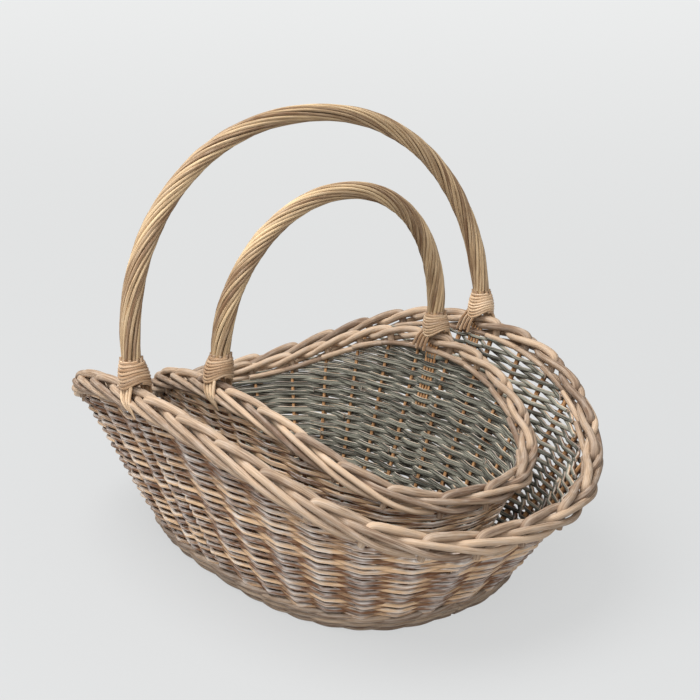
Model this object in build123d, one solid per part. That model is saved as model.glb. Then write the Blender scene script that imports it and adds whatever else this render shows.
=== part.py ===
from build123d import *
from dataclasses import dataclass
import math
import os

# A nest of two oval willow trugs. Lengths are in millimetres, Z is up.
# X runs along each trug, Y runs from the front handle foot (-Y) to the rear one (+Y).
# The origin is the middle of the underside of the large trug's base.

# Large trug: the rim is a saddle, high at the handle feet and low at the two ends.
large_rim_half_length = 258.5
large_rim_half_width = 198.0
large_rim_squareness = 2.39
large_rim_side_height = 189.7
large_rim_end_height = 107.5
large_saddle_power = 3.1
large_base_half_length = 180.5
large_base_half_width = 117.0
large_base_squareness = 2.75
large_stake_count = 34
large_stake_radius = 3.0
large_wall_half_thickness = 7.0
large_border_rod_radius = 4.2
large_border_ring_radius = 9.4
large_handle_foot_out = 2.0
large_handle_top_height = 408.0
large_handle_lean_share = -0.09
large_handle_squareness = 2.14
large_core_radius = 4.4
large_strand_radius = 2.7
large_strand_twists = 2.3
large_binding_height = 25.0

# Small trug: the same build on a narrower oval.
small_rim_half_length = 205.0
small_rim_half_width = 126.0
small_rim_squareness = 2.39
small_rim_side_height = 175.0
small_rim_end_height = 114.5
small_saddle_power = 3.6
small_base_half_length = 143.5
small_base_half_width = 73.5
small_base_squareness = 2.75
small_stake_count = 26
small_stake_radius = 2.7
small_wall_half_thickness = 6.5
small_border_rod_radius = 3.9
small_border_ring_radius = 8.8
small_handle_foot_out = -2.5
small_handle_top_height = 333.0
small_handle_lean_share = 0.12
small_handle_squareness = 2.08
small_core_radius = 3.9
small_strand_radius = 2.4
small_strand_twists = 1.5
small_binding_height = 23.0

# Where the small trug stands inside the large one.
small_shift_x = 18.5
small_shift_y = -3.3

# Sizes that both trugs share.
seat_clearance = 0.3
mat_thickness = 6.0
cross_stick_radius = 3.0
cross_stick_count = 5
long_stick_radius = 1.8
long_stick_spacing = 4.6
long_stick_count = 3
slit_clearance = 0.2
wale_rod_radius = 2.8
wale_course_count = 3
wale_course_pitch = 6.1
wale_butt_gap = 2.0
weave_drop_below_rim = 15.0
wall_waist_share = 0.5
stake_taper_share = 0.85
border_tip_share = 0.75
border_shank_share = 0.6

# The path of a border rod: stake pitches from its own stake, then how far out of the rim's
# middle line and how far above it, as shares of the border ring radius. It rises on its own
# stake line, passes behind the next rod, comes out under it, passes in front of two more
# and turns in at its tip.
border_path_shares = (
    (0.1, 0.1, 0.65),
    (0.5, -0.32, 1.05),
    (1, -1.22, 0.58),
    (1.5, -0.62, -0.06),
    (2, 0.92, 0.2),
    (3, 1.03, -0.7),
    (3.6, 0.65, -1.2),
)
trim_rod_radius = 3.0
trim_rod_end_gap_share = 0.12
strand_count = 8
arch_steps_per_twist = 7
handle_thinning_share = 0.2
binding_turn_count = 8
binding_cane_thickness = 2.6
binding_side_count = 8
leg_stick_radius = 2.5
leg_stick_count = 4
leg_stick_spacing = 6.2
leg_stick_reach = 92.0
leg_bend_step_count = 1
tail_strip_radius = 1.4
tail_strip_count = 3
tail_strip_spacing = 3.4
tail_strip_reach = 30.0
tail_strip_side_count = 4
rod_side_count = 5
straight_side_count = 4
stick_side_count = 6
rim_sample_count = 720


@dataclass(frozen=True)
class Trug:
    """The sizes of one trug of the nest, and where the middle of its base stands."""

    prefix: str
    place: tuple
    rim_half_length: float
    rim_half_width: float
    rim_squareness: float
    rim_side_height: float
    rim_end_height: float
    saddle_power: float
    base_half_length: float
    base_half_width: float
    base_squareness: float
    stake_count: int
    stake_radius: float
    wall_half_thickness: float
    border_rod_radius: float
    border_ring_radius: float
    handle_foot_out: float
    handle_top_height: float
    handle_lean_share: float
    handle_squareness: float
    core_radius: float
    strand_radius: float
    strand_twists: float
    binding_height: float

    @property
    def handle_half_span(self):
        """The handle's feet stand on the border, so its span follows the rim."""
        return self.rim_half_width + self.handle_foot_out


large_trug = Trug(
    prefix="large",
    place=(0, 0, 0),
    rim_half_length=large_rim_half_length,
    rim_half_width=large_rim_half_width,
    rim_squareness=large_rim_squareness,
    rim_side_height=large_rim_side_height,
    rim_end_height=large_rim_end_height,
    saddle_power=large_saddle_power,
    base_half_length=large_base_half_length,
    base_half_width=large_base_half_width,
    base_squareness=large_base_squareness,
    stake_count=large_stake_count,
    stake_radius=large_stake_radius,
    wall_half_thickness=large_wall_half_thickness,
    border_rod_radius=large_border_rod_radius,
    border_ring_radius=large_border_ring_radius,
    handle_foot_out=large_handle_foot_out,
    handle_top_height=large_handle_top_height,
    handle_lean_share=large_handle_lean_share,
    handle_squareness=large_handle_squareness,
    core_radius=large_core_radius,
    strand_radius=large_strand_radius,
    strand_twists=large_strand_twists,
    binding_height=large_binding_height,
)

# The small trug stands on the large one's cross sticks.
stick_top_height = mat_thickness + seat_clearance + 2 * cross_stick_radius

small_trug = Trug(
    prefix="small",
    place=(small_shift_x, small_shift_y, stick_top_height + seat_clearance),
    rim_half_length=small_rim_half_length,
    rim_half_width=small_rim_half_width,
    rim_squareness=small_rim_squareness,
    rim_side_height=small_rim_side_height,
    rim_end_height=small_rim_end_height,
    saddle_power=small_saddle_power,
    base_half_length=small_base_half_length,
    base_half_width=small_base_half_width,
    base_squareness=small_base_squareness,
    stake_count=small_stake_count,
    stake_radius=small_stake_radius,
    wall_half_thickness=small_wall_half_thickness,
    border_rod_radius=small_border_rod_radius,
    border_ring_radius=small_border_ring_radius,
    handle_foot_out=small_handle_foot_out,
    handle_top_height=small_handle_top_height,
    handle_lean_share=small_handle_lean_share,
    handle_squareness=small_handle_squareness,
    core_radius=small_core_radius,
    strand_radius=small_strand_radius,
    strand_twists=small_strand_twists,
    binding_height=small_binding_height,
)


# The willow rod, which everything is made of

def rod(points, radii, sides=rod_side_count):
    """A willow rod: a many-sided section lofted through points, with its own radius at each."""
    side = Vector(1, 0, 0)
    sections = []
    for index, point in enumerate(points):
        before = points[max(index - 1, 0)]
        after = points[min(index + 1, len(points) - 1)]
        along = (after - before).normalized()
        if index == 0 and abs(along.X) > math.sqrt(1 / 2):
            side = Vector(0, 1, 0)
        side = (side - along * side.dot(along)).normalized()
        plane = Plane(origin=point, x_dir=side, z_dir=along)
        sections.append(plane * RegularPolygon(radii[index], sides))
    return loft(sections, ruled=True, clean=False)


def even_radii(radius, points, end_share=1.0):
    """Radii for rod, running evenly from radius to a share of it at the far end."""
    last = len(points) - 1
    return [radius * (1 + (end_share - 1) * index / last) for index in range(last + 1)]


# Outlines of one trug

def oval_point(half_length, half_width, squareness, turn):
    """A point of an oval that is squarer than an ellipse where squareness is over 2."""
    along = math.cos(turn)
    across = math.sin(turn)
    x = half_length * math.copysign(abs(along) ** (2 / squareness), along)
    y = half_width * math.copysign(abs(across) ** (2 / squareness), across)
    return x, y


def rim_point(trug, turn):
    """The middle of the border at a turn round the saddle-shaped rim."""
    x, y = oval_point(trug.rim_half_length, trug.rim_half_width, trug.rim_squareness, turn)
    rise = trug.rim_side_height - trug.rim_end_height
    return Vector(x, y, trug.rim_end_height + rise * abs(y / trug.rim_half_width) ** trug.saddle_power)


def base_point(trug, turn):
    """The foot of the wall's middle surface at the same turn."""
    x, y = oval_point(trug.base_half_length, trug.base_half_width, trug.base_squareness, turn)
    return Vector(x, y, 0)


def stake_turns(trug):
    """Turns that share the rim out evenly, so that the stakes stand one pitch apart."""
    turns = [math.tau * index / rim_sample_count for index in range(rim_sample_count + 1)]
    lengths = [0]
    for before, after in zip(turns, turns[1:]):
        lengths.append(lengths[-1] + (rim_point(trug, after) - rim_point(trug, before)).length)
    found = []
    index = 0
    for stake in range(trug.stake_count):
        wanted = lengths[-1] * stake / trug.stake_count
        while lengths[index + 1] < wanted:
            index += 1
        share = (wanted - lengths[index]) / (lengths[index + 1] - lengths[index])
        found.append(turns[index] + share * (turns[index + 1] - turns[index]))
    return found


def outward(points, index):
    """The level direction out of a closed outline at one of its points."""
    along = points[(index + 1) % len(points)] - points[index - 1]
    return Vector(along.Y, -along.X, 0).normalized()


class Wall:
    """The stake lines of one trug, straight from base to rim, and places measured from them."""

    def __init__(self, trug):
        turns = stake_turns(trug)
        self.trug = trug
        self.count = len(turns)
        self.feet = [base_point(trug, turn) for turn in turns]
        self.tops = [rim_point(trug, turn) for turn in turns]
        self.foot_out = [outward(self.feet, index) for index in range(self.count)]
        self.top_out = [outward(self.tops, index) for index in range(self.count)]
        self.weave_edge = [self.point(index, self.weave_top(index), 0) for index in range(self.count)]

    def point(self, index, height, out):
        """A point beside a stake line at a height, moved outward on the level."""
        index = index % self.count
        share = height / self.tops[index].Z
        level_out = self.foot_out[index] * (1 - share) + self.top_out[index] * share
        return self.feet[index] * (1 - share) + self.tops[index] * share + level_out.normalized() * out

    def slant(self, index):
        """How much wider a gap must be on the level to be one unit wide square to the wall."""
        run = self.tops[index % self.count] - self.feet[index % self.count]
        return run.length / run.Z

    def end_rise_share(self, index):
        """How far the square end of a rod on a stake line stands out of the level, over its radius."""
        return math.sqrt(1 - 1 / self.slant(index) ** 2)

    def weave_top(self, index):
        return self.tops[index % self.count].Z - weave_drop_below_rim

    def beside(self, line, run, out, up):
        """A point beside a closed line, run stake pitches round, in a plane square to the line."""
        first = math.floor(run) % self.count
        second = (first + 1) % self.count
        share = run - math.floor(run)
        centre = line[first] * (1 - share) + line[second] * share
        level_out = (self.top_out[first] * (1 - share) + self.top_out[second] * share).normalized()
        before = line[second] - line[first - 1]
        after = line[(second + 1) % self.count] - line[first]
        along = (before * (1 - share) + after * share).normalized()
        upward = level_out.cross(along).normalized()
        return centre + level_out * out + upward * up


# Base: a woven mat over pierced sticks

def base_mat(wall):
    """The woven oval mat, cut to the foot of the wall."""
    outline = Polyline(*wall.feet, close=True)
    return extrude(make_face(outline), amount=mat_thickness)


def stick_row(count, spacing):
    """Places of a centred row."""
    return [(index - (count - 1) / 2) * spacing for index in range(count)]


def inner_half_width(wall, x):
    """Half of the clear width on the base at a place along it."""
    trug = wall.trug
    share = 1 - abs(x / trug.base_half_length) ** trug.base_squareness
    full = trug.base_half_width * share ** (1 / trug.base_squareness)
    return full - trug.wall_half_thickness


def straight_stick(middle, along, radius, half_length):
    """A straight peeled stick, flat above and below, centred on a point."""
    start = Plane(origin=middle - along * half_length, x_dir=along.cross(Vector(0, 0, 1)), z_dir=along)
    section = RegularPolygon(radius, stick_side_count, major_radius=False)
    return extrude(start * section, amount=2 * half_length)


def long_sticks(wall):
    """Thin sticks along the base, threaded through the slits of the cross sticks."""
    trug = wall.trug
    half_length = trug.base_half_length - trug.wall_half_thickness
    height = mat_thickness + seat_clearance + cross_stick_radius
    return [straight_stick(Vector(0, y, height), Vector(1, 0, 0), long_stick_radius, half_length)
            for y in stick_row(long_stick_count, long_stick_spacing)]


def cross_sticks(wall):
    """Thick sticks across the base, each slit for the row of long sticks."""
    height = mat_thickness + seat_clearance + cross_stick_radius
    spacing = 2 * wall.trug.base_half_length / (cross_stick_count + 1)
    slit_height = 2 * (long_stick_radius + slit_clearance)
    slit_width = (long_stick_count - 1) * long_stick_spacing
    slit_width = slit_width + slit_height / math.cos(math.pi / stick_side_count)
    sticks = []
    for x in stick_row(cross_stick_count, spacing):
        middle = Vector(x, 0, height)
        stick = straight_stick(middle, Vector(0, 1, 0), cross_stick_radius, inner_half_width(wall, x))
        sticks.append(stick - Pos(*middle) * Box(4 * cross_stick_radius, slit_width, slit_height))
    return sticks


# Wall: stakes, foot wale and the woven sides

def wale_point(wall, index, course):
    """Where a foot wale rod lies: the first against the mat, the others against the wall."""
    height = seat_clearance + wale_rod_radius + course * wale_course_pitch
    gap = wale_rod_radius + seat_clearance
    if course == 0:
        return wall.point(index, height, gap)
    return wall.point(index, height, wall.trug.wall_half_thickness + gap * wall.slant(index))


def foot_wale(wall):
    """Courses of long rods round the foot, each of two rods that butt, staggered by course."""
    half = wall.count // 2
    rods = []
    for course in range(wale_course_count):
        start = course * half // wale_course_count
        for first in (start, start + half):
            last = first + half
            points = [wale_point(wall, index, course) for index in range(first, last + 1)]
            ending = (points[-1] - points[-2]).normalized() * wale_butt_gap
            points[-1] = points[-1] - ending
            rods.append(rod(points, even_radii(wale_rod_radius, points)))
    return rods


def stake(wall, index, clearance=0, overrun=0):
    """One upright, from the mat to just under the border."""
    trug = wall.trug
    inset = seat_clearance + trug.stake_radius * wall.end_rise_share(index)
    low = mat_thickness + inset - overrun
    high = wall.weave_top(index) - inset + overrun
    points = [wall.point(index, low, 0), wall.point(index, high, 0)]
    radii = even_radii(trug.stake_radius + clearance, points, stake_taper_share)
    return rod(points, radii, straight_side_count)


def stakes(wall):
    return [stake(wall, index) for index in range(wall.count)]


def ruled_face(low_start, low_end, high_start, high_end):
    """A wall panel between two straight edges."""
    return Face.make_surface_from_curves(Edge.make_line(low_start, low_end),
                                         Edge.make_line(high_start, high_end))


def wall_section(wall, index):
    """Corners of the woven side on a stake line: foot in and out, then top in and out."""
    thick = wall.trug.wall_half_thickness
    heights = (mat_thickness + seat_clearance, wall.weave_top(index))
    return [wall.point(index, height, out) for height in heights for out in (-thick, thick)]


def waist_section(before, after):
    """The section midway between two stakes, where the woven rods cross and the side is thin."""
    corners = [(here + there) / 2 for here, there in zip(before, after)]
    foot, top = (corners[0] + corners[1]) / 2, (corners[2] + corners[3]) / 2
    return [middle + (corner - middle) * wall_waist_share
            for corner, middle in zip(corners, (foot, foot, top, top))]


def woven_shell(wall):
    """The closed body of the woven side, thick at each stake that the rods bend round."""
    on_stakes = [wall_section(wall, index) for index in range(wall.count)]
    sections = []
    for before, after in zip(on_stakes, on_stakes[1:] + on_stakes[:1]):
        sections += [before, waist_section(before, after)]
    faces = []
    for here, there in zip(sections, sections[1:] + sections[:1]):
        for low, high in ((1, 3), (0, 2), (0, 1), (2, 3)):
            faces.append(ruled_face(here[low], there[low], here[high], there[high]))
    return Solid(Shell(faces))


def side_weave(wall):
    """The woven side with a channel for each stake and each leg of the handle."""
    overrun = wall.trug.stake_radius * 2
    channels = [stake(wall, index, seat_clearance, overrun) for index in range(wall.count)]
    channels += leg_sticks(wall, seat_clearance)
    return woven_shell(wall) - channels


# Border: rods that interlace round the rim

def border_rod(wall, index):
    """One rod of the border: up from the weave, behind one neighbour and in front of two."""
    trug = wall.trug
    ring = trug.border_ring_radius
    points = [wall.beside(wall.tops, index + run, out_share * ring, up_share * ring)
              for run, out_share, up_share in border_path_shares]
    radii = even_radii(trug.border_rod_radius, points, border_tip_share)
    seat = wall.point(index, wall.weave_top(index), trug.wall_half_thickness / 2)
    lean = (points[0] - seat).normalized()
    shank_radius = trug.border_rod_radius * border_shank_share
    lift = seat_clearance + shank_radius * math.sqrt(1 - lean.Z ** 2)
    return rod([seat + Vector(0, 0, lift)] + points, [shank_radius] + radii)


def border_rods(wall):
    return [border_rod(wall, index) for index in range(wall.count)]


def trim_rods(wall):
    """The trimmed end of each border rod, lying inside under the border on the top of the weave."""
    up = trim_rod_radius + seat_clearance
    out = trim_rod_radius - wall.trug.wall_half_thickness
    rods = []
    for index in range(wall.count):
        runs = (index + trim_rod_end_gap_share, index + 1 - trim_rod_end_gap_share)
        points = [wall.beside(wall.weave_edge, run, out, up) for run in runs]
        rods.append(rod(points, even_radii(trim_rod_radius, points)))
    return rods


# Handle: a twisted arch bound at its feet

def foot_height(trug):
    """The underside of the handle's foot, standing on the border's highest rods."""
    crest = max(up_share for run, out_share, up_share in border_path_shares)
    return trug.rim_side_height + crest * trug.border_ring_radius + trug.border_rod_radius + seat_clearance


def arch_point(trug, turn):
    """A point of the arch's centre line, from the front foot at turn 0 to the rear foot."""
    spring = foot_height(trug)
    across = math.cos(turn)
    y = -trug.handle_half_span * math.copysign(abs(across) ** (2 / trug.handle_squareness), across)
    rise = (trug.handle_top_height - spring) * math.sin(turn) ** (2 / trug.handle_squareness)
    return Vector(trug.handle_lean_share * rise, y, spring + rise)


def arch_step_count(trug):
    """Steps of the arch between its two bindings, enough of them for its twist."""
    return round(trug.strand_twists * arch_steps_per_twist)


def arch_turns(trug):
    """Turns of the arch's stations; the first and last stretch are straight, inside the bindings."""
    rise_share = trug.binding_height / (trug.handle_top_height - foot_height(trug))
    first = math.asin(rise_share ** (trug.handle_squareness / 2))
    steps = arch_step_count(trug)
    step = (math.pi - 2 * first) / steps
    return [0] + [first + step * index for index in range(steps + 1)] + [math.pi]


def arch_frames(trug):
    """Centre, direction and size share of each station of the arch."""
    turns = arch_turns(trug)
    centres = [arch_point(trug, turn) for turn in turns]
    frames = []
    for index, turn in enumerate(turns):
        before = centres[max(index - 1, 0)]
        after = centres[min(index + 1, len(centres) - 1)]
        frames.append((centres[index], (after - before).normalized(),
                       1 - handle_thinning_share * math.sin(turn)))
    return frames


def handle_core(wall):
    """The thick rods in the middle of the handle, as one bow."""
    frames = arch_frames(wall.trug)
    points = [centre for centre, along, size in frames]
    radii = [wall.trug.core_radius * size for centre, along, size in frames]
    return rod(points, radii, straight_side_count)


def strand_turn_step(trug):
    """The turn of a strand about the core from one station of the arch to the next."""
    return math.tau * trug.strand_twists / (arch_step_count(trug) + 2)


def strand_orbit(trug):
    """How far the strands' centres lie from the core's, so that their straight runs clear it."""
    chord_share = math.cos(strand_turn_step(trug) / 2)
    return (trug.core_radius + seat_clearance + trug.strand_radius) / chord_share


def handle_strands(wall):
    """Rods wound round the core with a right-hand twist."""
    trug = wall.trug
    frames = arch_frames(trug)
    face_out = Vector(1, 0, -trug.handle_lean_share).normalized()
    step = strand_turn_step(trug)
    orbit = strand_orbit(trug)
    strands = []
    for strand in range(strand_count):
        points = []
        for index, (centre, along, size) in enumerate(frames):
            turn = math.tau * strand / strand_count + step * index
            side = along.cross(face_out)
            points.append(centre + (face_out * math.cos(turn) + side * math.sin(turn)) * orbit * size)
        strands.append(rod(points, [trug.strand_radius * size for centre, along, size in frames]))
    return strands


def bundle_radius(trug):
    """Radius of the handle at its foot, over its strands."""
    return strand_orbit(trug) + trug.strand_radius


def binding(wall, side):
    """Turns of cane drawn tight round the handle's foot."""
    trug = wall.trug
    inner = bundle_radius(trug) + seat_clearance
    outer = inner + binding_cane_thickness
    groove = inner + binding_cane_thickness / 2
    half_pitch = trug.binding_height / binding_turn_count / 2
    sections = []
    for step in range(2 * binding_turn_count + 1):
        radius = outer if step % 2 else groove
        section = RegularPolygon(radius, binding_side_count, major_radius=False)
        sections.append(Pos(0, 0, step * half_pitch) * section)
    bore = RegularPolygon(inner, binding_side_count, major_radius=False)
    coil = loft(sections, ruled=True, clean=False) - extrude(bore, amount=trug.binding_height)
    frames = arch_frames(trug)
    centre, along, size = frames[0] if side < 0 else frames[-1]
    upward = along if side < 0 else along * -1
    return Plane(origin=centre, x_dir=(0, 1, 0), z_dir=upward) * coil


def leg_sticks(wall, clearance=0):
    """Butt ends of the handle's rods, sprung over the inside of the border into the weave."""
    trug = wall.trug
    flank_share = -min(out_share for run, out_share, up_share in border_path_shares)
    reach = trug.border_ring_radius * flank_share + trug.border_rod_radius + seat_clearance + leg_stick_radius
    rise = foot_height(trug) - trug.rim_side_height - seat_clearance - leg_stick_radius
    start = math.pi - math.asin(rise / reach)
    step = (math.pi - start) / leg_bend_step_count
    turns = [start + step * index for index in range(leg_bend_step_count + 1)]
    wall_run = (trug.rim_half_width - trug.base_half_width) / trug.rim_side_height
    entry = 2 * weave_drop_below_rim
    places = [(reach * math.cos(turn), reach * math.sin(turn)) for turn in turns]
    places.append((-reach, -weave_drop_below_rim / 2))
    places.append((-entry * wall_run - leg_stick_radius, -entry))
    places.append((-leg_stick_reach * wall_run, -leg_stick_reach))
    sticks = []
    for side in (-1, 1):
        for x in stick_row(leg_stick_count, leg_stick_spacing):
            points = [Vector(x, side * (trug.rim_half_width + out), trug.rim_side_height + up)
                      for out, up in places]
            sticks.append(rod(points, even_radii(leg_stick_radius + clearance, points)))
    return sticks


def tail_strips(wall):
    """Pointed ends of the binding cane, laid down the outside of the border."""
    trug = wall.trug
    flank_share = max(out_share for run, out_share, up_share in border_path_shares)
    flank_out = trug.border_ring_radius * flank_share + trug.border_rod_radius * border_tip_share
    over_border = flank_out + tail_strip_radius + seat_clearance
    top = foot_height(trug) - seat_clearance - tail_strip_radius / 2
    start_out = trug.handle_foot_out + bundle_radius(trug) + seat_clearance + binding_cane_thickness / 2
    strips = []
    for side in (-1, 1):
        for x in stick_row(tail_strip_count, tail_strip_spacing):
            places = [
                (x, start_out, top),
                (x, over_border, trug.rim_side_height + trug.border_ring_radius / 2),
                (x * border_tip_share, over_border - tail_strip_radius, top - tail_strip_reach),
            ]
            points = [Vector(along, side * (trug.rim_half_width + out), z) for along, out, z in places]
            radii = even_radii(tail_strip_radius, points, border_tip_share)
            strips.append(rod(points, radii, tail_strip_side_count))
    return strips


# Every piece of a trug, by the name of its node

def trug_pieces(trug):
    wall = Wall(trug)
    return {
        "base_mat": [base_mat(wall)],
        "long_base_sticks": long_sticks(wall),
        "cross_base_sticks": cross_sticks(wall),
        "foot_wale_rods": foot_wale(wall),
        "stakes": stakes(wall),
        "side_weave": [side_weave(wall)],
        "border_rods": border_rods(wall),
        "border_trim_rods": trim_rods(wall),
        "handle_core": [handle_core(wall)],
        "handle_strands": handle_strands(wall),
        "handle_leg_sticks": leg_sticks(wall),
        "handle_tail_strips": tail_strips(wall),
        "front_binding": [binding(wall, -1)],
        "rear_binding": [binding(wall, 1)],
    }


os.makedirs("parts", exist_ok=True)
for trug in (large_trug, small_trug):
    for name, pieces in trug_pieces(trug).items():
        solids = [solid for piece in pieces for solid in piece.solids()]
        placed = Pos(*trug.place) * Compound(children=solids)
        export_step(placed, f"parts/{trug.prefix}_{name}.step")
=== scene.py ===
import bpy
import math
import numpy as np
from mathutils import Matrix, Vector


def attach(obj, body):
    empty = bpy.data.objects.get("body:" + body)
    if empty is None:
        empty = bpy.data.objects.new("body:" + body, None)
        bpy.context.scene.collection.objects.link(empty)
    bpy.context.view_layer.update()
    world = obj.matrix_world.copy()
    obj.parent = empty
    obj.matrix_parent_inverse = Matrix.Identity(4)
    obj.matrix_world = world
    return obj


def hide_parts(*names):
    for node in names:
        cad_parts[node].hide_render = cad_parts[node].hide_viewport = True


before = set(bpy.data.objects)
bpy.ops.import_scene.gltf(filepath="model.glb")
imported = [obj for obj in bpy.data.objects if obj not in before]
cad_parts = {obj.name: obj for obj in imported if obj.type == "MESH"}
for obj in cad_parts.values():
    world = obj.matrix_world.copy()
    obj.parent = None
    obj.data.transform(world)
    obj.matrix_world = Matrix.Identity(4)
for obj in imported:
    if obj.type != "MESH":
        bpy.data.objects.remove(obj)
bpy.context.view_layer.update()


# The studio: a pale floor that runs back out of sight, a broad soft lamp overhead, a weaker one
# at the side, and the camera a little over a metre away, looking down into the nest.

def linear(hex_colour):
    """A colour as seen on screen, turned into light."""
    shares = [int(hex_colour[index:index + 2], 16) / 255 for index in (0, 2, 4)]
    return tuple(share / 12.92 if share < 0.04045 else ((share + 0.055) / 1.055) ** 2.4
                 for share in shares) + (1.0,)


scene = bpy.context.scene
scene.view_settings.view_transform = "Standard"

camera_azimuth = math.radians(52.31)
camera_elevation = math.radians(15.84)
camera_distance = 1.29315
camera_target = Vector((-0.06156, 0.07898, 0.16586))
camera_back = Vector((math.sin(camera_azimuth) * math.cos(camera_elevation),
                      -math.cos(camera_azimuth) * math.cos(camera_elevation),
                      math.sin(camera_elevation)))
camera = bpy.data.objects.new("camera", bpy.data.cameras.new("camera"))
camera.data.lens = 66.51
camera.data.sensor_width = 36.0
camera.location = camera_target + camera_back * camera_distance
camera.rotation_euler = camera_back.to_track_quat("Z", "Y").to_euler()
scene.collection.objects.link(camera)
scene.camera = camera


def soft_lamp(name, place, aim, size, power):
    lamp = bpy.data.objects.new(name, bpy.data.lights.new(name, "AREA"))
    lamp.data.shape = "DISK"
    lamp.data.size = size
    lamp.data.energy = power
    lamp.location = place
    lamp.rotation_euler = (Vector(place) - Vector(aim)).to_track_quat("Z", "Y").to_euler()
    scene.collection.objects.link(lamp)


class Shade:
    """A value in a finish. Sums on it are worked out by the finish at each point."""

    def __init__(self, tree, socket=None):
        self.tree = tree
        self.socket = socket

    def node(self, kind, settings=(), inputs=(), output=0):
        node = self.tree.nodes.new(kind)
        for name, value in dict(settings).items():
            setattr(node, name, value)
        for name, value in dict(inputs).items():
            if isinstance(value, Shade):
                self.tree.links.new(value.socket, node.inputs[name])
            else:
                node.inputs[name].default_value = value
        return Shade(self.tree, node.outputs[output])

    def sum(self, operation, first, second):
        return self.node("ShaderNodeMath", {"operation": operation}, {0: first, 1: second})

    def __add__(self, other):
        return self.sum("ADD", self, other)

    def __radd__(self, other):
        return self.sum("ADD", other, self)

    def __sub__(self, other):
        return self.sum("SUBTRACT", self, other)

    def __rsub__(self, other):
        return self.sum("SUBTRACT", other, self)

    def __mul__(self, other):
        return self.sum("MULTIPLY", self, other)

    def __rmul__(self, other):
        return self.sum("MULTIPLY", other, self)

    def __truediv__(self, other):
        return self.sum("DIVIDE", self, other)

    def between(self, low, high):
        """0 under low and 1 over high, with a smooth step."""
        return self.node("ShaderNodeMapRange", {"interpolation_type": "SMOOTHSTEP"},
                         {"Value": self, "From Min": low, "From Max": high})

    def blend(self, start, end):
        """The colour start where this is 0 and end where it is 1."""
        mixed = self.tree.nodes.new("ShaderNodeMix")
        mixed.data_type = "RGBA"
        self.tree.links.new(self.socket, mixed.inputs["Factor"])
        for name, value in (("A", start), ("B", end)):
            socket = [item for item in mixed.inputs if item.name == name and item.type == "RGBA"][0]
            if isinstance(value, Shade):
                self.tree.links.new(value.socket, socket)
            else:
                socket.default_value = value
        return Shade(self.tree, [item for item in mixed.outputs if item.type == "RGBA"][0])


soft_lamp("overhead_lamp", (-0.15, -0.85, 1.95), aim=(0.0, 0.0, 0.15), size=1.7, power=54.0)
soft_lamp("side_lamp", (1.5, -1.2, 1.3), aim=(0.0, 0.0, 0.1), size=1.4, power=17.0)

air_light = 0.46
air_extra_seen = 0.44
world = bpy.data.worlds.new("studio_air")
scene.world = world
world.use_nodes = True
air = world.node_tree.nodes["Background"]
air.inputs["Color"].default_value = linear("f4f6f8")
in_view = Shade(world.node_tree).node("ShaderNodeLightPath", output="Is Camera Ray")
air_strength = air_light + air_extra_seen * in_view
world.node_tree.links.new(air_strength.socket, air.inputs["Strength"])

floor_size = 240.0
floor_glow_near = 0.72
floor_glow_gain = 0.26
floor_glow_distance = 1.1
bpy.ops.object.select_all(action="DESELECT")
bpy.ops.mesh.primitive_plane_add(size=floor_size, location=(0.0, 0.0, 0.0))
floor = bpy.context.object
floor.name = "floor"
floor_paint = bpy.data.materials.new("floor_paper")
floor_paint.use_nodes = True
floor_tree = floor_paint.node_tree
floor_shader = floor_tree.nodes["Principled BSDF"]
floor_shader.inputs["Base Color"].default_value = linear("b7b8b9")
floor_shader.inputs["Roughness"].default_value = 0.9
floor_shader.inputs["Specular IOR Level"].default_value = 0.1
paper = Shade(floor_tree)
spot = paper.node("ShaderNodeTexCoord", output="Object")
away = paper.node("ShaderNodeVectorMath", {"operation": "LENGTH"}, {0: spot}, "Value")
seen = paper.node("ShaderNodeLightPath", output="Is Camera Ray")
mirrored = paper.node("ShaderNodeLightPath", output="Is Glossy Ray")
far_share = away / (away + floor_glow_distance)
glow_share = (seen + mirrored) * (floor_glow_near + floor_glow_gain * far_share)
glow_colour = far_share.blend(linear("dfe0e0"), linear("eeefef"))
glow = paper.node("ShaderNodeEmission", (), {"Color": glow_colour})
lit_paper = Shade(floor_tree, floor_shader.outputs[0])
mixed = paper.node("ShaderNodeMixShader", (), {0: glow_share, 1: lit_paper, 2: glow})
floor_tree.links.new(mixed.socket, floor_tree.nodes["Material Output"].inputs["Surface"])
floor.data.materials.append(floor_paint)


# The two trugs are built alike. Each has a flat oval base and a saddle-shaped oval rim, and the
# stakes run straight between them at even steps round the rim, so a place on a trug is a number
# of stake pitches round it, a height, and a distance out of the wall.

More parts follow.
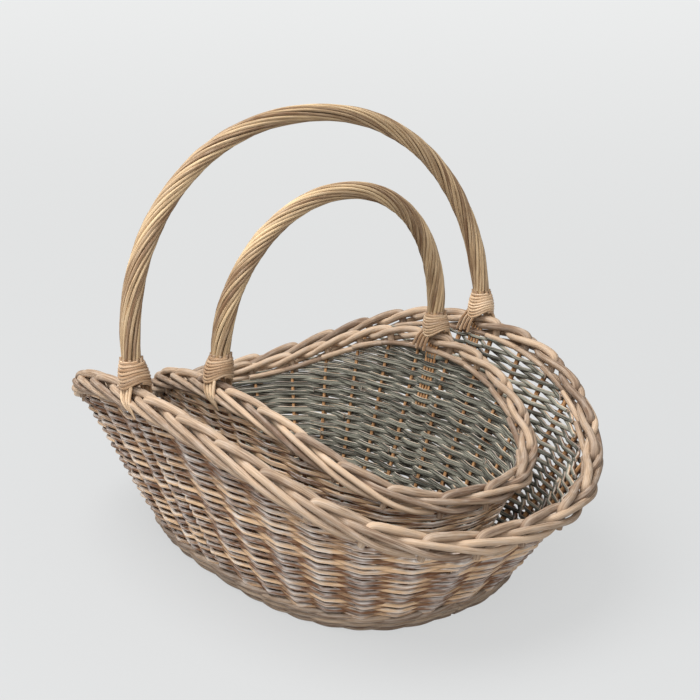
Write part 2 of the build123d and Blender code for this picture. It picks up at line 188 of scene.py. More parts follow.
class Trug:
    """The outline of one trug, in metres. The wall curls in towards its foot."""

    foot_curl = 0.005
    curl_height = 0.045
    curl_power = 1.6
    outline_points = 2881
    outward_points = 6
    border_step = 0.2

    def __init__(self, name, place, stakes, rim, base, side_height, end_height, saddle_power, border_shift):
        self.name = name
        self.place = np.array(place)
        self.stakes = stakes
        self.side_height = side_height
        self.border_shift = np.array((border_shift, 0.0, 0.0))
        turn = np.linspace(0.0, math.tau, self.outline_points)
        rim_line = self.oval(turn, *rim)
        rise = np.abs(rim_line[:, 1] / rim[1]) ** saddle_power
        rim_line[:, 2] = end_height + (side_height - end_height) * rise
        steps = np.linalg.norm(np.diff(rim_line, axis=0), axis=1)
        self.run_table = np.concatenate(([0.0], np.cumsum(steps))) / steps.sum() * stakes
        self.rim_table = rim_line
        self.foot_table = self.oval(turn, *base)
        self.rim_out_table = self.outward(rim_line)
        self.foot_out_table = self.outward(self.foot_table)
        self.rim_half_width = float(np.max(rim_line[:, 1]))
        self.base_half_width = float(np.max(self.foot_table[:, 1]))

    @staticmethod
    def oval(turn, half_length, half_width, squareness):
        along, across = np.cos(turn), np.sin(turn)
        x = half_length * np.sign(along) * np.abs(along) ** (2 / squareness)
        y = half_width * np.sign(across) * np.abs(across) ** (2 / squareness)
        return np.stack((x, y, np.zeros_like(x)), axis=1)

    def outward(self, line):
        """The level direction out of a closed line at each of its points."""
        before = np.roll(line[:-1], self.outward_points, axis=0)
        along = np.roll(line[:-1], -self.outward_points, axis=0) - before
        out = np.stack((along[:, 1], -along[:, 0], np.zeros(len(along))), axis=1)
        out = out / np.linalg.norm(out, axis=1, keepdims=True)
        return np.concatenate((out, out[:1]))

    def at(self, table, run):
        run = np.mod(run, self.stakes)
        return np.stack([np.interp(run, self.run_table, table[:, axis]) for axis in range(3)], axis=-1)

    def rim_height(self, run):
        return self.at(self.rim_table, run)[..., 2]

    def slope(self, run):
        """Length of the wall for each metre of height."""
        reach = self.at(self.rim_table, run) - self.at(self.foot_table, run)
        return np.linalg.norm(reach, axis=-1) / reach[..., 2]

    def wall(self, run, height, out):
        """Points on the wall and the level direction out of it there."""
        share = (height / self.rim_height(run))[..., None]
        level = self.at(self.foot_out_table, run) * (1 - share) + self.at(self.rim_out_table, run) * share
        level = level / np.linalg.norm(level, axis=-1, keepdims=True)
        line = self.at(self.foot_table, run) * (1 - share) + self.at(self.rim_table, run) * share
        curl = self.foot_curl * np.clip(1 - height / self.curl_height, 0.0, 1.0) ** self.curl_power
        out = np.asarray(out) - curl
        return line + level * out[..., None] + self.place, level

    def border(self, run, out, up):
        """Points beside the rim in a plane square to it, and the level direction out."""
        level = self.at(self.rim_out_table, run)
        after, before = run + self.border_step, run - self.border_step
        along = self.at(self.rim_table, after) - self.at(self.rim_table, before)
        upward = np.cross(level, along)
        upward = upward / np.linalg.norm(upward, axis=-1, keepdims=True)
        centre = self.at(self.rim_table, run) + self.border_shift
        line = centre + level * np.asarray(out)[..., None] + upward * np.asarray(up)[..., None]
        return line + self.place, level


large = Trug("large", (0.0, 0.0, 0.0), stakes=34, rim=(0.2585, 0.198, 2.39), base=(0.1805, 0.117, 2.75),
             side_height=0.1897, end_height=0.1075, saddle_power=3.1, border_shift=0.0035)
small = Trug("small", (0.0185, -0.0033, 0.0126), stakes=26, rim=(0.205, 0.126, 2.39),
             base=(0.1435, 0.0735, 2.75), side_height=0.175, end_height=0.1145, saddle_power=3.6,
             border_shift=0.0)
trugs = (large, small)


# Willow: every piece of the nest is a peeled rod. Rods of one piece share a mesh, and each
# carries its own tone, its grain laid out along it, and how far it faces the inside of the trug,
# because the outside is tan with a chalky wash and the inside has weathered grey.

class Rods:
    """Willow rods gathered into one mesh."""

    face_sharpness = 1.8
    end_dome = 0.12
    smooth_angle = math.radians(62)

    def __init__(self, sides):
        self.sides = sides
        self.points, self.faces, self.grain = [], [], []
        self.tones, self.inner, self.cut, self.recess_shade = [], [], [], []
        self.count = 0

    def add(self, line, radius, out, tone, closed=False, turned_in=True, depth=1.0):
        """A rod along a line. out points to its side 0. A rod that is turned in has weathered
        grey on the sides that face into the trug. depth is 1 where a rod lies in front of the
        stakes or of what it covers, 0 among them, and -1 where it lies behind; the sides that lie
        back are darkened in the finish as painted shade."""
        line = np.asarray(line, float)
        amount = len(line)
        radius = np.broadcast_to(radius, amount)
        if closed:
            along = np.roll(line, -1, axis=0) - np.roll(line, 1, axis=0)
        else:
            along = np.gradient(line, axis=0)
        along = along / np.linalg.norm(along, axis=1, keepdims=True)
        side = np.broadcast_to(out, line.shape)
        side = side - along * np.sum(side * along, axis=1, keepdims=True)
        side = side / np.linalg.norm(side, axis=1, keepdims=True)
        other = np.cross(along, side)
        turn = np.arange(self.sides) * math.tau / self.sides
        ring = (side[:, None] * (np.cos(turn)[None, :, None] * radius[:, None, None])
                + other[:, None] * (np.sin(turn)[None, :, None] * radius[:, None, None]))
        start = self.count
        self.points.append((line[:, None] + ring).reshape(-1, 3))
        inner = -np.cos(turn) if turned_in else np.full(self.sides, -1.0)
        self.inner.append(np.tile(inner, amount))
        self.cut.append(np.zeros(amount * self.sides))
        if turned_in:
            facing = np.clip(np.cos(turn) * self.face_sharpness, -1.0, 1.0)[None, :]
            facing = facing * np.broadcast_to(depth, amount)[:, None]
        else:
            facing = np.full((amount, self.sides), depth)
        # How far each side lies back, which the finish darkens as painted shade.
        self.recess_shade.append((0.5 - 0.5 * facing).reshape(-1))
        self.tones.append(np.full(amount * self.sides, tone))
        step = np.linalg.norm(np.diff(line, axis=0), axis=1)
        length = np.concatenate(([0.0], np.cumsum(step)))
        girth = math.tau * float(np.mean(radius)) / self.sides
        for span in range(amount if closed else amount - 1):
            low = start + span * self.sides
            high = start + (span + 1) % amount * self.sides
            near = length[span]
            far = length[span + 1] if span + 1 < amount else length[span] + step[0]
            for index in range(self.sides):
                after = (index + 1) % self.sides
                self.faces.append((low + index, low + after, high + after, high + index))
                bottom, top = index * girth, (index + 1) * girth
                self.grain.append(((near, bottom), (near, top), (far, top), (far, bottom)))
        self.count += amount * self.sides
        if not closed:
            last_ring = start + (amount - 1) * self.sides
            self.cap(line[0], -along[0] * radius[0] * self.end_dome, start, True, tone)
            self.cap(line[-1], along[-1] * radius[-1] * self.end_dome, last_ring, False, tone)

    def cap(self, middle, dome, ring_start, is_start, tone):
        """The cut end of a rod."""
        self.points.append((middle + dome)[None])
        self.inner.append(np.array([0.0]))
        self.cut.append(np.array([1.0]))
        self.recess_shade.append(np.array([0.0]))
        self.tones.append(np.array([tone]))
        for index in range(self.sides):
            after = (index + 1) % self.sides
            if is_start:
                self.faces.append((ring_start + after, ring_start + index, self.count))
            else:
                self.faces.append((ring_start + index, ring_start + after, self.count))
            self.grain.append(((0.0, 0.0), (0.0, 0.0), (0.0, 0.0)))
        self.count += 1

    def piece(self, name, finish, body, slot, *nodes):
        """Finishes the gathered rods as one piece that rides on a body and stands for CAD nodes."""
        mesh = bpy.data.meshes.new(name)
        mesh.from_pydata(np.concatenate(self.points).tolist(), [], self.faces)
        grain = mesh.uv_layers.new(name="grain")
        grain.data.foreach_set("uv", np.array([value for face in self.grain for corner in face
                                               for value in corner], np.float32))
        for label, values in (("tone", self.tones), ("inner", self.inner), ("cut", self.cut),
                              ("recess_shade", self.recess_shade)):
            attribute = mesh.attributes.new(label, "FLOAT", "POINT")
            attribute.data.foreach_set("value", np.concatenate(values).astype(np.float32))
        piece = bpy.data.objects.new(name, mesh)
        scene.collection.objects.link(piece)
        bpy.ops.object.select_all(action="DESELECT")
        piece.select_set(True)
        bpy.context.view_layer.objects.active = piece
        bpy.ops.object.shade_smooth_by_angle(angle=self.smooth_angle)
        mesh.materials.append(finish)
        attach(piece, body)
        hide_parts(*nodes)


def willow_finish(name, pale, deep, wash, wash_amount, grey_pale, grey_deep, roughness=0.72,
                  tone_spread=0.5, streakiness=1.3):
    """Peeled willow: streaks along the rod, a chalky wash outside, and weathered grey inside."""
    paint = bpy.data.materials.new(name)
    paint.use_nodes = True
    tree = paint.node_tree
    shader = tree.nodes["Principled BSDF"]
    start = Shade(tree)
    grain = start.node("ShaderNodeUVMap", {"uv_map": "grain"})
    along = start.node("ShaderNodeSeparateXYZ", (), {0: grain})
    around = Shade(tree, along.socket.node.outputs[1])
    tone = start.node("ShaderNodeAttribute", {"attribute_name": "tone"}, (), 2)
    inner = start.node("ShaderNodeAttribute", {"attribute_name": "inner"}, (), 2)
    cut = start.node("ShaderNodeAttribute", {"attribute_name": "cut"}, (), 2)
    recess_shade = start.node("ShaderNodeAttribute", {"attribute_name": "recess_shade"}, (), 2)

    def noise(along_scale, around_scale, seed, detail):
        place = start.node("ShaderNodeCombineXYZ", (), {0: along * along_scale, 1: around * around_scale,
                                                        2: tone * 37.0 + seed})
        return start.node("ShaderNodeTexNoise", (), {"Vector": place, "Scale": 1.0, "Detail": detail})

    # Long streaks, slow changes along the rod, patches of wash, and fine fibres.
    streak = noise(28.0, 900.0, 0.0, 3.0)
    drift = noise(14.0, 40.0, 5.0, 2.0)
    patch = noise(90.0, 260.0, 9.0, 3.0)
    fine = noise(60.0, 2600.0, 13.0, 2.0)

    # The bare wood, then the wash that settles on its edges. The wash is stronger where a rod
    # comes forward over a stake, partly real and partly a painted highlight on the bend, and
    # weaker where the rod lies back, as painted shade.
    age = ((streak - 0.5) * streakiness + (fine - 0.5) * 0.9 + (drift - 0.5) * 0.7
           + (tone - 0.5) * tone_spread + 0.5)
    wood = age.between(0.1, 0.9).blend(linear(deep), linear(pale))
    edge = 1.0 - inner * inner
    chalk_and_highlight = patch * 0.5 + streak * 0.3 + edge * 0.2 + (0.5 - recess_shade) * 0.3
    outside = (chalk_and_highlight.between(0.46, 0.78) * wash_amount).blend(wood, linear(wash))

    # The weathered grey of the inside, painted shade where a rod lies back, and the cut ends.
    grey_age = age * 0.6 + (fine - 0.5) * 1.9 + 0.2
    grey = grey_age.between(0.22, 0.85).blend(linear(grey_deep), linear(grey_pale))
    weathered = (inner + (patch - 0.5) * 0.5).between(-0.12, 0.42)
    faced = weathered.blend(outside, grey)
    shaded = (recess_shade.between(0.4, 0.95) * (0.8 - weathered * 0.55)).blend(faced, linear("2a1d15"))
    colour = (cut * 0.8).blend(shaded, linear("77736a"))
    tree.links.new(colour.socket, shader.inputs["Base Color"])
    shader.inputs["Roughness"].default_value = roughness
    shader.inputs["Specular IOR Level"].default_value = 0.32
    height = streak * 0.4 + fine * 0.6
    bump = start.node("ShaderNodeBump", (), {"Height": height, "Distance": 0.0004, "Strength": 0.55})
    tree.links.new(bump.socket, shader.inputs["Normal"])
    return paint


chance = np.random.default_rng(31)


# The base mat is a flat oval of rods woven round and round, from its edge to the middle sticks.
# It is the first thing made, and everything else is built up from its edge.

base_finish = willow_finish("base_willow", "a98c70", "5f4b3a", "9c968c", 0.3, "9a9789", "504e46")
mat_rod_radius = 0.0024
mat_rod_sides = 6
mat_row_pitch = 0.0046
mat_middle_height = 0.003
mat_wave = 0.0005
mat_step = 0.2
downward = (0.0, 0.0, -1.0)
for trug in trugs:
    rods = Rods(mat_rod_sides)
    rows = int((trug.base_half_width - trug.foot_curl) / mat_row_pitch)
    run = np.arange(0.0, trug.stakes, mat_step)
    foot = trug.at(trug.foot_table, run)
    for row in range(rows):
        inset = mat_rod_radius + trug.foot_curl + row * mat_row_pitch
        line = np.zeros_like(foot)
        line[:, 0] = foot[:, 0] - np.sign(foot[:, 0]) * np.minimum(np.abs(foot[:, 0]), inset)
        line[:, 1] = foot[:, 1] * (1 - inset / trug.base_half_width)
        line[:, 2] = mat_middle_height + np.cos(math.pi * run * 0.5 + row * math.pi) * mat_wave
        rods.add(line + trug.place, mat_rod_radius, downward, chance.random(), closed=True, depth=0.0)
    rods.piece(f"{trug.name}_base_mat_weave", base_finish, f"{trug.name}_trug", "base_willow",
               f"{trug.name}_base_mat")


# The base sticks: five thick sticks lie across the mat, slit at the middle, and three thin ones
# are threaded through the slits. The base is woven round them.

stick_sides = 10
stick_points = 24
base_sticks = (("cross_base_sticks", 1, 0, 0.0042), ("long_base_sticks", 0, 1, 0.0023))
for trug in trugs:
    for kind, along_axis, across_axis, reach in base_sticks:
        node = f"{trug.name}_{kind}"
        sticks = {}
        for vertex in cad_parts[node].data.vertices:
            corner = np.array(vertex.co)
            near = [place for place in sticks if abs(place - corner[across_axis]) < reach]
            sticks.setdefault(near[-1] if near else corner[across_axis], []).append(corner)
        rods = Rods(stick_sides)
        for corners in sticks.values():
            low, high = np.min(corners, axis=0), np.max(corners, axis=0)
            line = np.repeat((low + high)[None] / 2, stick_points, axis=0)
            line[:, along_axis] = np.linspace(low[along_axis], high[along_axis], stick_points)
            rods.add(line, (high[2] - low[2]) / 2, downward, chance.random(), depth=0.0)
        rods.piece(f"{trug.name}_{kind}_round", base_finish, f"{trug.name}_trug", "base_willow", node)


# The stakes are the uprights: straight orange-brown rods pushed in beside the base, one pitch
# apart. The sides are woven round them, and they show between the woven rods on the inside.

# The stakes' outside colours are darkened as painted shade, where they sit between the rows; their inside
# colours are the stakes' own orange-brown.
stake_finish = willow_finish("stake_willow", "8a6242", "503527", "8a7868", 0.1, "cf9f70", "8f6842")
stake_radius = {"large": 0.0029, "small": 0.0020}
stake_tip_share = 0.85
stake_sides = 8
stake_points = 12
stake_foot_height = 0.0085
stake_top_drop = 0.009
for trug in trugs:
    rods = Rods(stake_sides)
    radius = stake_radius[trug.name] * np.linspace(1.0, stake_tip_share, stake_points)
    for stake in range(trug.stakes):
        run = np.full(stake_points, float(stake))
        top = trug.rim_height(run)[0] - stake_top_drop
        height = np.linspace(stake_foot_height, top, stake_points)
        line, level = trug.wall(run, height, np.zeros(stake_points))
        rods.add(line, radius, level, chance.random(), depth=0.0)
    rods.piece(f"{trug.name}_stakes_round", stake_finish, f"{trug.name}_trug", "stake_willow",
               f"{trug.name}_stakes")


# The side weave is plain randing: each row goes in front of one stake and behind the next, and
# the row above does the opposite. The rows lie level, so the high sides take more of them. A row
# is one rod on the large trug and three thin ones on the small, and each thins towards its tip.

weave_finish = willow_finish("washed_willow", "ecc69d", "7c563b", "f0eae4", 0.9, "9c9a8c", "403f38",
                             tone_spread=1.0)
weave_side_pitch = {"large": 0.0042, "small": 0.0044}
weave_end_pitch = {"large": 0.0038, "small": 0.0044}
weave_reach = {"large": 0.0049, "small": 0.0024}
weave_radius = {"large": 0.00208, "small": 0.00108}
weave_row = {"large": (0.0,), "small": (-0.00145, 0.0, 0.00145)}
weave_rod_sides = {"large": 8, "small": 5}
weave_start_height = 0.0115
weave_stop_drop = 0.0095
weave_places = {"large": np.array([0.0, 0.06, 0.15, 0.33, 0.5, 0.67, 0.85, 0.94]),
                "small": np.array([0.0, 0.12, 0.33, 0.5, 0.67, 0.88])}
weave_rod_places = (72, 128)
weave_overlap = 6
weave_shortest_rod = 40
weave_shortest_stretch = 12
weave_tip_places = 10
weave_tip_share = 0.45
weave_taper = (1.04, 0.86)
weave_rod_sizes = (0.95, 1.06)
weave_start_tuck = 0.0022
weave_tuck_pace = 6
weave_sway = 0.05
weave_swell = 0.04
weave_row_drift = 0.00032
weave_rod_drift = 0.00022
right_end_turn = 0.045
right_end_width = 1.6
right_end_lift = 0.1
legs_wrap = ((0.0, 0.33, 0.67, 1.0), (0.0, 0.46, 0.54, 1.0))
bend_softness = 0.995


def wander(amount, length, size):
    """A slow random drift along a rod, of a typical size."""
    knots = np.arange(-1, length + 3)
    return np.interp(amount, knots, chance.normal(0.0, size, len(knots)))


def zigzag(run, stakes):
    """1 at one stake and -1 at the next, nearly straight between them. The handle's legs, half
    way along each side, count as one stake more."""
    to_legs = np.mod(run - stakes / 4 + 0.5, stakes / 2)
    passed = np.floor((run - stakes / 4 + 0.5) / (stakes / 2)) + np.interp(to_legs, *legs_wrap)
    return np.arcsin(bend_softness * np.cos(math.pi * (run + passed))) / math.asin(bend_softness)


def open_stretches(inside):
    """The stretches round the trug where a row lies under the border. A whole row starts at any
    place, and its end laps over its start."""
    if inside.all():
        start = int(chance.integers(len(inside)))
        return [np.arange(start, start + len(inside) + weave_overlap)]
    gap = int(np.flatnonzero(~inside)[0])
    order = (np.arange(len(inside)) + gap) % len(inside)
    cuts = np.flatnonzero(np.diff(np.append(inside[order], False).astype(int)))
    stretches = [order[first + 1:last + 1] for first, last in zip(cuts[::2], cuts[1::2])]
    return [stretch for stretch in stretches if len(stretch) > weave_shortest_stretch]


for trug in trugs:
    rods = Rods(weave_rod_sides[trug.name])
    places = weave_places[trug.name]
    reach = weave_reach[trug.name]
    round_the_trug = (np.arange(trug.stakes)[:, None] + places[None]).reshape(-1)
    from_right_end = np.cos((round_the_trug / trug.stakes - right_end_turn) * math.tau)
    endness = np.clip(from_right_end * right_end_width + right_end_lift, 0.0, 1.0)
    side_pitch = weave_side_pitch[trug.name]
    pitch = side_pitch + (weave_end_pitch[trug.name] - side_pitch) * endness
    slope = trug.slope(round_the_trug)
    top = trug.rim_height(round_the_trug) - weave_stop_drop
    row = 0
    while True:
        height = weave_start_height + row * pitch / slope
        inside = height < top
        if not inside.any():
            break
        for stretch in open_stretches(inside):
            last = 0
            while last < len(stretch):
                first = max(last - weave_overlap, 0)
                length = int(chance.integers(*weave_rod_places))
                is_last = len(stretch) - first < length + weave_shortest_rod
                last = len(stretch) if is_last else first + length
                index = stretch[first:last]
                wrapped = index % len(inside)
                run = round_the_trug[wrapped] + (index // len(inside)) * trug.stakes
                amount = np.arange(len(index)) / len(places)
                side = 1.0 if row % 2 else -1.0
                sway = 1 + wander(amount, amount[-1], weave_sway)
                out = side * reach * zigzag(run, trug.stakes) * sway
                row_height = height[wrapped] + wander(amount, amount[-1], weave_row_drift)
                taper = np.linspace(*weave_taper, len(index)) * chance.uniform(*weave_rod_sizes)
                swell = 1 + wander(amount, amount[-1], weave_swell)
                radius = weave_radius[trug.name] * taper * swell
                tip = radius[-weave_tip_places:]
                tip *= np.linspace(1.0, weave_tip_share, len(tip))
                tuck = weave_start_tuck * np.exp(-amount * weave_tuck_pace)
                for beside in weave_row[trug.name]:
                    drift = 0.0
                    if len(weave_row[trug.name]) > 1:
                        drift = wander(amount, amount[-1], weave_rod_drift)
                    line, level = trug.wall(run, row_height + beside + drift, out)
                    line = line - level * tuck[:, None]
                    rods.add(line, radius, level, chance.random(), depth=np.clip(out / reach, -1.0, 1.0))
        row += 1
    rods.piece(f"{trug.name}_side_rods", weave_finish, f"{trug.name}_trug", "weave_willow",
               f"{trug.name}_side_weave")


# The foot wale is three courses of long rods laid round the foot, outside the stakes, which
# lock the uprights. Each rod goes in front of two stakes and behind one.

border_finish = willow_finish("border_willow", "caae91", "6f5745", "c6bbaf", 0.5, "c4a485", "6e5744",
                              streakiness=0.6)
wale_courses = 3
wale_strands = 3
wale_radius = 0.0026
wale_sides = 8
wale_pitch = 0.0058
wale_lowest = 0.003
wale_first_height = 0.0033
wale_out = 0.0036
wale_swing = 0.0032
wale_rise = 0.0016
wale_step = 0.125
wale_swell = 0.08
wale_swell_pace = 0.7
for trug in trugs:
    rods = Rods(wale_sides)
    run = np.arange(0.0, trug.stakes, wale_step)
    for course in range(wale_courses):
        for strand in range(wale_strands):
            phase = np.mod((run + strand) / wale_strands, 1.0)
            stroke = np.mod((run + strand + wale_strands / 2) / wale_strands, 1.0)
            out = wale_out + wale_swing * np.cos(math.tau * phase)
            height = wale_first_height + course * wale_pitch - wale_rise * np.sin(math.tau * stroke)
            line, level = trug.wall(run, np.maximum(height, wale_lowest), out)
            radius = wale_radius * (1 + wale_swell * np.sin(run * wale_swell_pace + strand + course))
            rods.add(line, radius, level, chance.random(), closed=True)
    rods.piece(f"{trug.name}_foot_wale_round", border_finish, f"{trug.name}_trug", "weave_willow",
               f"{trug.name}_foot_wale_rods")


# The border finishes the rim: each thick rod comes up at its own stake, leans in behind the next
# one, crosses the top and runs down outside the two after that. Its path is given in pitches
# along the rim, and in shares of the border's ring out of the rim and up.

border_rod_radius = {"large": 0.0042, "small": 0.0039}
border_ring = {"large": 0.0094, "small": 0.0088}
border_thickness = {"large": 0.0035, "small": 0.0031}
border_sides = 12
border_root = ((0.02, -0.0008, -0.0145), (0.04, -0.0002, -0.004))
border_path = ((0.08, 0.25, 0.75), (0.5, -0.25, 0.9), (1.0, -0.98, 0.45), (1.5, -0.48, -0.15),
               (2.0, 0.9, 0.24), (3.0, 1.05, -0.84), (3.5, 0.55, -1.4), (3.9, -0.3, -1.6))
border_closeness = 0.7
border_flatness = 0.9
border_sink = 0.0022
border_steps = 7
border_taper = ((0.0, 0.12, 0.28, 0.5, 1.0), (0.8, 1.14, 1.08, 0.95, 0.72))
border_looseness = 0.025
border_swell = 0.03
border_swell_knots = 6


def smooth_line(points, steps):
    """A smooth line through points, with steps places to each stretch."""
    points = np.asarray(points, float)
    before = np.concatenate((2 * points[:1] - points[1:2], points[:-1]))[:-1]
    after = np.concatenate((points[2:], 2 * points[-1:] - points[-2:-1]))
    start, end = points[:-1], points[1:]
    place = (np.arange(steps) / steps)[None, :, None]
    line = 0.5 * (2 * start[:, None] + (end - before)[:, None] * place
                  + (2 * before - 5 * start + 4 * end - after)[:, None] * place ** 2
                  + (3 * start - before - 3 * end + after)[:, None] * place ** 3)
    return np.concatenate((line.reshape(-1, points.shape[1]), points[-1:]))


for trug in trugs:
    rods = Rods(border_sides)
    for stake in range(trug.stakes):
        swell = border_ring[trug.name] * border_closeness * (1 + chance.normal(0.0, border_looseness))
        run = stake + np.array([place[0] for place in border_root + border_path])
        out = np.array([place[1] for place in border_root]
                       + [place[1] * swell * border_flatness for place in border_path])
        up = np.array([place[2] for place in border_root] + [place[2] * swell for place in border_path])
        path, level = trug.border(run, out, up - border_sink)
        line = smooth_line(path, border_steps)
        share = np.linspace(0.0, 1.0, len(line))
        taper = np.interp(share, *border_taper)
        uneven = 1 + wander(share * border_swell_knots, border_swell_knots, border_swell)
        radius = border_thickness[trug.name] * taper * uneven
        facing = smooth_line(level, border_steps)
        rods.add(line, radius, facing, chance.random(), turned_in=False)
    rods.piece(f"{trug.name}_border_rods_round", border_finish, f"{trug.name}_trug", "border_willow",
               f"{trug.name}_border_rods")


# The trimmed ends of the border rods lie inside, just under the border, each cut off square.
# Their path is given in pitches along the rim, and in metres out of it and up.

trim_radius = 0.00275
trim_sides = 12
trim_steps = 4
trim_run = np.array([0.0, 0.35, 0.75, 1.0, 1.15])
trim_out = np.array([-0.001, -0.0055, -0.007, -0.0075, -0.0077])
trim_up = np.array([-0.0118, -0.0105, -0.0099, -0.0097, -0.0096])
for trug in trugs:
    rods = Rods(trim_sides)
    for stake in range(trug.stakes):
        run = stake + trim_run + chance.normal(0.0, 0.03)
        out = trim_out + chance.normal(0.0, 0.0003)
        up = trim_up + chance.normal(0.0, 0.0004)
        path, level = trug.border(run, out, up)
        radius = trim_radius * (1 + 0.06 * chance.normal())
        rods.add(smooth_line(path, trim_steps), radius, smooth_line(level, trim_steps), chance.random(),
                 turned_in=False)
    rods.piece(f"{trug.name}_border_ends_round", border_finish, f"{trug.name}_trug", "border_willow",
               f"{trug.name}_border_trim_rods")


# The handle is an arch of fourteen golden rods twisted round a thicker bow, standing on the
# border at the middle of each side. It thins a little towards the top.

class Arch:
    """The centre line of one trug's handle, and directions across it."""

    front_shift = 0.0038
    shifted_turn = 0.5
    points = 97
    top_thinning = 0.17
    foot_thinning = 0.17
    foot_thinning_reach = 0.16
    foot_over_ring = 1.05
    foot_gap = 0.0003

    def __init__(self, trug, half_span, top, lean, squareness, binding):
        ring, rod_radius = border_ring[trug.name], border_rod_radius[trug.name]
        self.foot = trug.side_height + self.foot_over_ring * ring + rod_radius + self.foot_gap
        self.half_span, self.lean = half_span, lean
        first = math.asin((binding / (top - self.foot)) ** (squareness / 2))
        turn = np.concatenate(([0.0, first / 2], np.linspace(first, math.pi - first, self.points),
                               [math.pi - first / 2, math.pi]))
        across = np.cos(turn)
        y = -half_span * np.sign(across) * np.abs(across) ** (2 / squareness)
        y = y + self.front_shift * np.clip(1 - turn / self.shifted_turn, 0.0, 1.0) ** 1.5
        rise = (top - self.foot) * np.abs(np.sin(turn)) ** (2 / squareness)
        self.line = np.stack((lean * rise, y, self.foot + rise), axis=1)
        step = np.linalg.norm(np.diff(self.line, axis=0), axis=1)
        self.share = np.concatenate(([0.0], np.cumsum(step))) / step.sum()
        along = np.gradient(self.line, axis=0)
        along = along / np.linalg.norm(along, axis=1, keepdims=True)
        face_out = np.array((1.0, 0.0, -lean))
        self.face_out = face_out / np.linalg.norm(face_out)
        self.side = np.cross(along, self.face_out)
        squeeze = 1 - self.foot_thinning * np.exp(-(np.sin(turn) / self.foot_thinning_reach) ** 2)
        self.size = (1 - self.top_thinning * np.sin(turn)) * squeeze


arches = {
    "large": Arch(large, half_span=0.200, top=0.408, lean=-0.09, squareness=2.14, binding=0.025),
    "small": Arch(small, half_span=0.1235, top=0.333, lean=0.12, squareness=2.08, binding=0.023),
}
handle_finish = willow_finish("handle_willow", "d8bb92", "7a5b40", "cdbfac", 0.3, "d8bb92", "7a5b40",
                              roughness=0.62)
handle_strands = 14
handle_orbit = {"large": 0.0078, "small": 0.0077}
handle_strand_radius = {"large": 0.00172, "small": 0.0017}
handle_strand_sides = 10
handle_twists = {"large": 2.9, "small": 2.4}
handle_twist_swing = 0.42
handle_core_inset = 0.0017
handle_core_sides = 12
handle_core_shade_depth = -0.7
handle_core_tone = 0.3
strand_turn_drift = 0.04
strand_reach_drift = 0.025
strand_sizes = (0.93, 1.08)
for trug in trugs:
    arch = arches[trug.name]
    orbit = handle_orbit[trug.name]
    core = Rods(handle_core_sides)
    # The core is darkened as painted shade, as it lies back behind the strands.
    core.add(arch.line + trug.place, (orbit - handle_core_inset) * arch.size, arch.face_out,
             handle_core_tone, turned_in=False, depth=handle_core_shade_depth)
    core.piece(f"{trug.name}_handle_core_round", handle_finish, f"{trug.name}_trug", "handle_willow",
               f"{trug.name}_handle_core")
    rods = Rods(handle_strand_sides)
    swing = handle_twist_swing * np.sin(4 * math.pi * arch.share) / (4 * math.pi)
    twist = handle_twists[trug.name] * (arch.share - swing)
    for strand in range(handle_strands):
        turn = math.tau * (strand / handle_strands + twist)
        turn = turn + wander(arch.share * 12, 12, strand_turn_drift)
        reach = orbit * arch.size * (1 + wander(arch.share * 14, 14, strand_reach_drift))
        outward = arch.face_out * np.cos(turn)[:, None] + arch.side * np.sin(turn)[:, None]
        line = arch.line + outward * reach[:, None]
        radius = handle_strand_radius[trug.name] * arch.size * chance.uniform(*strand_sizes)
        rods.add(line + trug.place, radius, arch.face_out, chance.random(), turned_in=False)
    rods.piece(f"{trug.name}_handle_strands_round", handle_finish, f"{trug.name}_trug", "handle_willow",
               f"{trug.name}_handle_strands")


# The legs: butt ends of the handle rods are pushed down beside the wall's weave from under the
# border, four at each foot of the handle, and the rows are woven round them.

leg_radius = 0.0014
leg_sides = 10
leg_spacing = 0.0040
legs_at_a_foot = 4
leg_drops = (0.03, 0.045, 0.064)
leg_steps = 5
for trug in trugs:
    rods = Rods(leg_sides)
    lean_in = (trug.rim_half_width - trug.base_half_width) / trug.side_height
    places = [(0.0, 0.0), (-0.005, -0.008), (-0.018 * lean_in - leg_radius, -0.018)]
    places += [(-drop * lean_in, -drop) for drop in leg_drops]
    for side in (-1, 1):
        for leg in range(legs_at_a_foot):
            x = (leg - (legs_at_a_foot - 1) / 2) * leg_spacing
            path = [(x, side * (trug.rim_half_width + out), trug.side_height + up) for out, up in places]
            line = smooth_line(path, leg_steps)
            rods.add(line + trug.place, leg_radius, (0.0, side, 0.0), chance.random(), depth=0.0)
    # The legs take the stakes' finish, with its painted shade on their outer sides.
    rods.piece(f"{trug.name}_handle_legs_round", stake_finish, f"{trug.name}_trug", "stake_willow",
               f"{trug.name}_handle_leg_sticks")


# The bindings: eight turns of split cane drawn tight round each foot of the handle. The lower
# turns are wider, and dip down over the outside and the inside of the border.

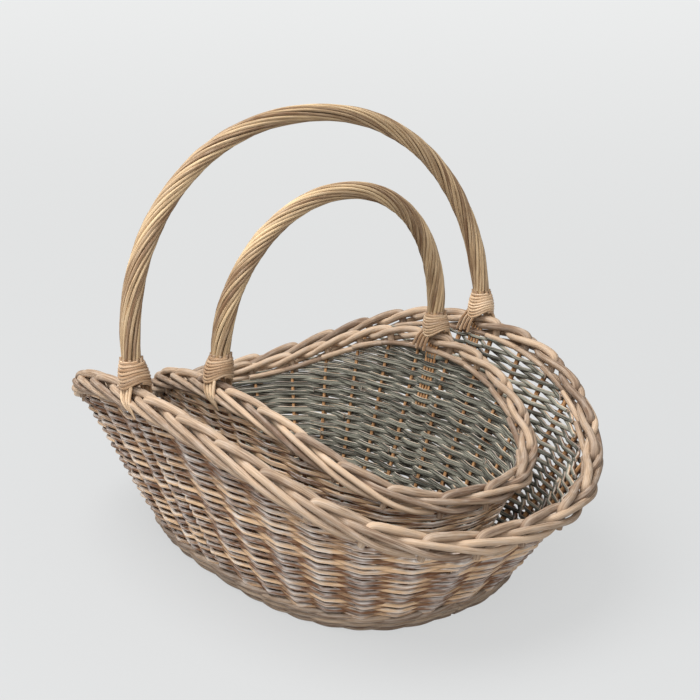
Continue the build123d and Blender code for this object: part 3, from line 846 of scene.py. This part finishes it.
cane_finish = willow_finish("binding_cane", "e6c7a2", "9c7959", "e6d9c8", 0.35, "e6c7a2", "9c7959",
                            roughness=0.5)
binding_turns = 8
binding_steps_to_a_turn = 24
binding_radius = 0.0089
binding_spread = 0.0022
binding_barrel = 0.0012
binding_rise = {"large": 0.0172, "small": 0.0155}
binding_sink = 0.003
binding_dip = 0.0075
binding_over_ring = 0.72
binding_draw = 0.8
cane_radius = 0.00155
cane_sides = 8
for trug in trugs:
    arch = arches[trug.name]
    turn = np.arange(0.0, binding_turns + 0.01, 1 / binding_steps_to_a_turn) * math.tau
    share = turn / turn[-1]
    tight = 1 - share
    barrel = binding_barrel * np.sin(math.pi * share)
    over_border = binding_over_ring * border_ring[trug.name] + border_rod_radius[trug.name] + cane_radius
    across = binding_radius + binding_spread * tight + barrel
    down = binding_radius + (over_border - binding_radius) * tight ** binding_draw + barrel
    rise = binding_rise[trug.name] * share - binding_sink
    height = rise - binding_dip * tight * np.sin(turn) ** 2
    lean = arch.lean * np.maximum(height, 0.0)
    reach = trug.rim_half_width + (arch.half_span - trug.rim_half_width) * (1 - tight)
    outward = np.stack((np.cos(turn), np.sin(turn), np.zeros_like(turn)), axis=1)
    for place, facing, shift in (("front", -1.0, arch.front_shift), ("rear", 1.0, 0.0)):
        middle = facing * reach + shift
        line = np.stack((lean + across * np.cos(turn), middle + down * np.sin(turn), arch.foot + height),
                        axis=1)
        rods = Rods(cane_sides)
        rods.add(line + trug.place, cane_radius, outward, chance.random(), turned_in=False)
        rods.piece(f"{trug.name}_{place}_binding_cane", cane_finish, f"{trug.name}_trug", "binding_cane",
                   f"{trug.name}_{place}_binding")


# The tails: ten cut tips stand just over each binding. Outside, four thin strips run on below
# it, and their points curl in under the border. Inside, four cut ends of the handle's rods
# splay out over the border.

tips_at_a_foot = 10
tip_orbit = 0.0086
tip_radius = 0.0014
tip_bottom = 0.008
strips_at_a_foot = 4
strip_radius = 0.0015
strip_spacing = 0.0042
strip_taper = ((0.0, 0.6, 1.0), (1.0, 1.0, 0.45))
splayed_at_a_foot = 4
splayed_spacing = 0.0047
tail_sides = 8
tail_steps = 6
tail_over_ring = 0.78
tail_gap = 0.0006
for trug in trugs:
    rods = Rods(tail_sides)
    arch = arches[trug.name]
    rim, rim_height = trug.rim_half_width, trug.side_height
    border_half = tail_over_ring * border_ring[trug.name] + border_rod_radius[trug.name] + tail_gap
    for side in (-1, 1):
        shift = np.array((0.0, arch.front_shift if side < 0 else 0.0, 0.0))
        foot = np.array((0.0, side * arch.half_span, arch.foot))
        for index in range(tips_at_a_foot):
            turn = math.tau * (index + chance.uniform(-0.2, 0.2)) / tips_at_a_foot
            around = np.array((tip_orbit * math.cos(turn), tip_orbit * math.sin(turn), 0.0))
            top = binding_rise[trug.name] - 0.0012 + chance.uniform(0.0, 0.0022)
            heights = (tip_bottom, (top + tip_bottom) / 2, top)
            path = [foot + around + (arch.lean * height, 0.0, height) for height in heights]
            rods.add(np.array(path) + shift + trug.place, tip_radius, (0.0, side, 0.0), 0.0,
                     turned_in=False)
        for index in range(strips_at_a_foot):
            x = (index - (strips_at_a_foot - 1) / 2) * strip_spacing
            path = [(x, side * (arch.half_span + 0.0070), arch.foot + 0.006),
                    (x * 1.1 + 0.001, side * (rim + border_half * 0.72), arch.foot - 0.005),
                    (x + 0.004, side * (rim + border_half), rim_height - 0.002),
                    (x * 0.8 + 0.007, side * (rim + border_half * 0.94), rim_height - 0.009),
                    (x * 0.4 + 0.010, side * (rim + border_half * 0.7),
                     rim_height - 0.0145 - 0.001 * index)]
            line = smooth_line(path, tail_steps)
            radius = strip_radius * np.interp(np.linspace(0.0, 1.0, len(line)), *strip_taper)
            rods.add(line + shift + trug.place, radius, (0.0, side, 0.0), 0.75 + 0.25 * chance.random(),
                     turned_in=False)
        for index in range(splayed_at_a_foot):
            x = (index - 1.6) * splayed_spacing
            path = [(x * 0.8, side * (arch.half_span - 0.0070), arch.foot + 0.004),
                    (x * 0.9 - 0.002, side * (rim - border_half * 0.8), arch.foot - 0.004),
                    (x - 0.006, side * (rim - border_half - 0.001), rim_height + 0.002),
                    (x * 1.1 - 0.010, side * (rim - border_half - 0.0025),
                     rim_height - 0.009 + chance.uniform(-0.0015, 0.002))]
            line = smooth_line(path, tail_steps)
            rods.add(line + shift + trug.place, strip_radius, (0.0, -side, 0.0), 0.3 * chance.random(),
                     turned_in=False)
    rods.piece(f"{trug.name}_binding_tails", cane_finish, f"{trug.name}_trug", "binding_cane",
               f"{trug.name}_handle_tail_strips")
